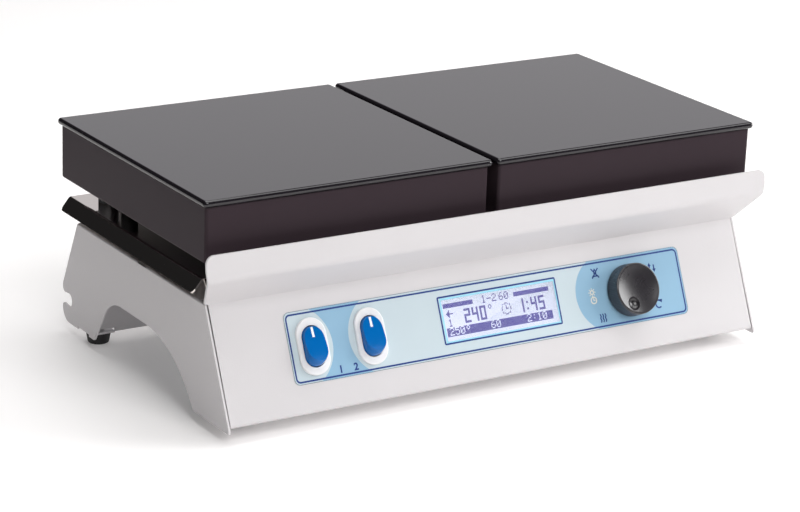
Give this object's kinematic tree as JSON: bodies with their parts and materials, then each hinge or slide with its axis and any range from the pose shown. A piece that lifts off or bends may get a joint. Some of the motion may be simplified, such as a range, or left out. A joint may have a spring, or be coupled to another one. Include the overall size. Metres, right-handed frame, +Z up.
{
  "type": "hot plate",
  "caption": "Bench hot plate with two square black glass-ceramic heating zones over a mirror heat shield, on a light grey sheet-metal body with leaning front controls.",
  "frame": {"origin": "on the bench plane under the middle of the overall footprint", "axes": "+X to the operator's right, +Y to the back, +Z up"},
  "size_m": [0.378, 0.2069, 0.133],
  "materials": {
    "powder_coat": "fine satin powder coat, light grey",
    "dark_enamel": "dark enamel, low gloss",
    "polished_steel": "mirror-polished stainless steel",
    "zinc_steel": "zinc-plated steel",
    "glass_ceramic": "black glass-ceramic, polished",
    "silicone": "black silicone",
    "black_rubber": "matt black rubber",
    "ceramic_fibre": "pressed fibre, matt",
    "heating_alloy": "oxidised resistance strip",
    "steatite": "cream steatite",
    "label_film": "printed polyester film, semi-gloss",
    "clear_pane": "clear acrylic",
    "display_glass": "dot-matrix display, lavender ground",
    "circuit_board": "green solder mask",
    "white_plastic": "white moulded nylon",
    "blue_plastic": "translucent blue polycarbonate",
    "knob_plastic": "black, satin face and ribbed side",
    "black_plastic": "black moulded plastic",
    "grey_plastic": "grey moulded plastic",
    "brass": "bare brass",
    "lead_sleeve": "heat-proof braided sleeve"
  },
  "bodies": {
    "base": {"left_side_plate": "powder_coat", "right_side_plate": "powder_coat", "deck": "powder_coat", "rear_panel": "powder_coat", "bottom_pan": "zinc_steel", "front_panel": "powder_coat", "heat_shield": "polished_steel", "foot_front_left": "black_rubber", "foot_front_right": "black_rubber", "foot_rear_left": "black_rubber", "foot_rear_right": "black_rubber", "foot_screws": "zinc_steel", "shield_spacers": "zinc_steel", "section_posts": "zinc_steel", "section_bolts": "zinc_steel", "glass_a": "glass_ceramic", "glass_b": "glass_ceramic", "skirt_a": "dark_enamel", "skirt_b": "dark_enamel", "base_a": "dark_enamel", "base_b": "dark_enamel", "seals": "silicone", "dishes": "zinc_steel", "insulation": "ceramic_fibre", "heating_ribbons": "heating_alloy", "limiters": "steatite", "heater_springs": "zinc_steel", "control_label": "label_film", "display_window": "clear_pane", "display_panel": "display_glass", "display_frame": "zinc_steel", "display_board": "circuit_board", "display_spacers": "white_plastic", "control_board": "circuit_board", "board_posts": "zinc_steel", "switch_bodies": "white_plastic", "switch_terminals": "brass", "encoder_body": "zinc_steel", "encoder_nut": "brass", "mains_inlet": "black_plastic", "inlet_pins": "brass", "power_board": "circuit_board", "transformer": "black_plastic", "capacitors": "black_plastic", "terminal_block": "grey_plastic", "terminal_screws": "zinc_steel", "relays": "grey_plastic", "mains_leads": "lead_sleeve", "heater_leads": "lead_sleeve", "lead_bushes": "black_plastic", "ribbon_cable": "grey_plastic", "earth_stud": "brass"},
    "rocker_a": {"rocker_a": "blue_plastic"},
    "rocker_b": {"rocker_b": "blue_plastic"},
    "rotor": {"encoder_rotor": "grey_plastic"},
    "knob": {"encoder_shaft": "zinc_steel", "knob": "knob_plastic"},
    "drawer": {"fuse_drawer": "black_plastic", "fuses": "steatite"}
  },
  "joints": [
    {"name": "rocker_a_tilt", "type": "hinge", "parent": "base", "child": "rocker_a", "pos_m": [-0.1205, -0.08812, 0.04306], "axis": [1, 0, 0], "range_deg": [0, 25.5]},
    {"name": "rocker_b_tilt", "type": "hinge", "parent": "base", "child": "rocker_b", "pos_m": [-0.0832, -0.08812, 0.04306], "axis": [1, 0, 0], "range_deg": [0, 25.5]},
    {"name": "knob_turn", "type": "hinge", "parent": "base", "child": "rotor", "pos_m": [0.0945, -0.08769, 0.04254], "axis": [0, -0.9114, 0.4115], "continuous": true},
    {"name": "knob_press", "type": "slide", "parent": "rotor", "child": "knob", "axis": [0, 0.9114, -0.4115], "range_m": [0, 0.0005], "stiffness_N_per_m": 10000},
    {"name": "drawer_pull", "type": "slide", "parent": "base", "child": "drawer", "axis": [0, 1, 0], "range_m": [0, 0.012]}
  ]
}
